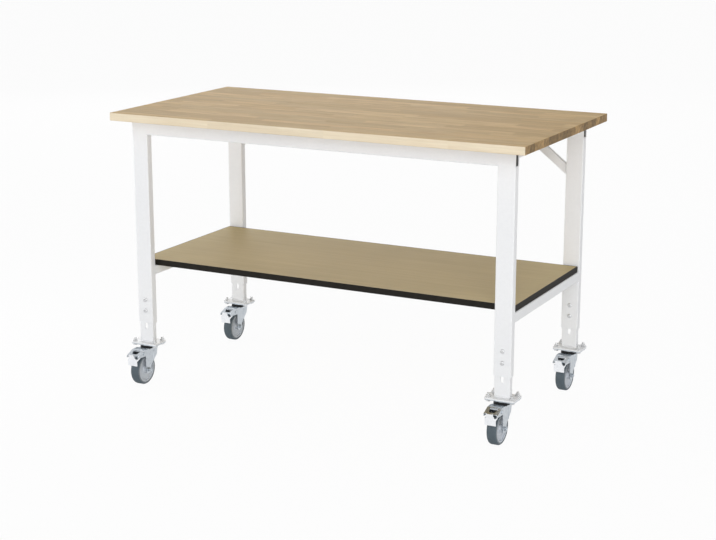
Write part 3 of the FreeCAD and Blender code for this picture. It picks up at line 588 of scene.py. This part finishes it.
def area_light(name, place, size, strength):
    """Soft square light; strength is the brightness it gives to white paper that faces it at the target."""
    lamp = bpy.data.lights.new(name, "AREA")
    lamp.size = size
    way = Vector(LAMP_TARGET) - Vector(place)
    lamp.energy = strength * math.pi ** 2 * way.length_squared
    light = bpy.data.objects.new(name, lamp)
    light.location = place
    light.rotation_euler = way.to_track_quat("-Z", "Y").to_euler()
    bpy.context.scene.collection.objects.link(light)


def combine(tree, operation, first, second):
    """Output of a math node from one linked value and one that is linked or a number."""
    node = tree.nodes.new("ShaderNodeMath")
    node.operation = operation
    tree.links.new(first, node.inputs[0])
    if isinstance(second, float):
        node.inputs[1].default_value = second
    else:
        tree.links.new(second, node.inputs[1])
    return node.outputs[0]


def seen_by(tree, *kinds):
    """Socket that is one for the given kinds of light rays and nought for the rest."""
    path = tree.nodes.new("ShaderNodeLightPath")
    total = path.outputs[f"Is {kinds[0]} Ray"]
    for kind in kinds[1:]:
        total = combine(tree, "MAXIMUM", total, path.outputs[f"Is {kind} Ray"])
    return total


def pick_surface(tree, share, first, second, output):
    """Show a mix of two shaders: the first where share is nought and the second where it is one."""
    pick = tree.nodes.new("ShaderNodeMixShader")
    for socket, value in zip(pick.inputs, (share, first.outputs[0], second.outputs[0])):
        tree.links.new(value, socket)
    tree.links.new(pick.outputs[0], tree.nodes[output].inputs["Surface"])


def make_world():
    """Even soft light from the upper half of the sky, with a white background all round."""
    world = bpy.data.worlds.new("studio")
    bpy.context.scene.world = world
    world.use_nodes = True
    tree = world.node_tree
    direction = tree.nodes.new("ShaderNodeTexCoord")
    parts = tree.nodes.new("ShaderNodeSeparateXYZ")
    tree.links.new(direction.outputs["Generated"], parts.inputs[0])
    upper = combine(tree, "GREATER_THAN", parts.outputs["Z"], 0.0)
    soft = tree.nodes["Background"]
    soft.inputs["Color"].default_value = (1.0, 1.0, 1.0, 1.0)
    tree.links.new(combine(tree, "MULTIPLY", upper, SKY_LIGHT), soft.inputs["Strength"])
    white = tree.nodes.new("ShaderNodeBackground")
    white.inputs["Color"].default_value = (1.0, 1.0, 1.0, 1.0)
    white.inputs["Strength"].default_value = 1.0
    pick_surface(tree, seen_by(tree, "Camera", "Glossy", "Transmission"), soft, white, "World Output")


def make_floor():
    """White floor with a faint soft shadow; the background and casters below it show through."""
    mesh = bpy.data.meshes.new("floor")
    corners = [(-FLOOR_REACH, -FLOOR_REACH, 0), (FLOOR_REACH, -FLOOR_REACH, 0),
               (FLOOR_REACH, FLOOR_REACH, 0), (-FLOOR_REACH, FLOOR_REACH, 0)]
    mesh.from_pydata(corners, [], [(0, 1, 2, 3)])
    floor = bpy.data.objects.new("floor", mesh)
    bpy.context.scene.collection.objects.link(floor)
    material = bpy.data.materials.new("floor_white")
    material.use_nodes = True
    tree = material.node_tree
    tree.nodes.remove(tree.nodes["Principled BSDF"])
    matte = tree.nodes.new("ShaderNodeBsdfDiffuse")
    matte.inputs["Color"].default_value = (FLOOR_GREY, FLOOR_GREY, FLOOR_GREY, 1.0)
    clear = tree.nodes.new("ShaderNodeBsdfTransparent")
    seen = seen_by(tree, "Camera", "Glossy", "Transmission", "Shadow")
    pick_surface(tree, combine(tree, "MULTIPLY", seen, FLOOR_CLEARNESS), matte, clear, "Material Output")
    mesh.materials.append(material)


def make_camera():
    """Camera at the photograph's viewing angle, a little above the top and to the right of the front."""
    lens = bpy.data.cameras.new("camera")
    lens.lens = LENS
    lens.sensor_width = SENSOR_WIDTH
    lens.clip_end = CAMERA_REACH
    camera = bpy.data.objects.new("camera", lens)
    camera.location = CAMERA_PLACE
    camera.rotation_euler = (math.radians(90 - CAMERA_DOWN), 0.0, math.radians(CAMERA_TURN))
    bpy.context.scene.collection.objects.link(camera)
    bpy.context.scene.camera = camera


dress_nodes()
frame_welds()
for each_corner in CORNERS:
    foot_welds(each_corner)

make_world()
make_floor()
area_light("key", (2.6, -8.0, 0.8), size=1.4, strength=0.24)
area_light("high_fill", (3.0, -4.5, 4.0), size=3.0, strength=0.19)
area_light("left_front_fill", (-3.4, -5.6, 2.2), size=3.0, strength=0.115)
area_light("left_fill", (-2.2, -0.5, 0.72), size=0.5, strength=0.15)
area_light("side_fill", (6.0, -1.0, 0.6), size=1.0, strength=0.12)
area_light("back_fill", (-3.6, 5.6, 2.6), size=3.6, strength=0.15)
make_camera()
bpy.context.scene.view_settings.view_transform = "Standard"
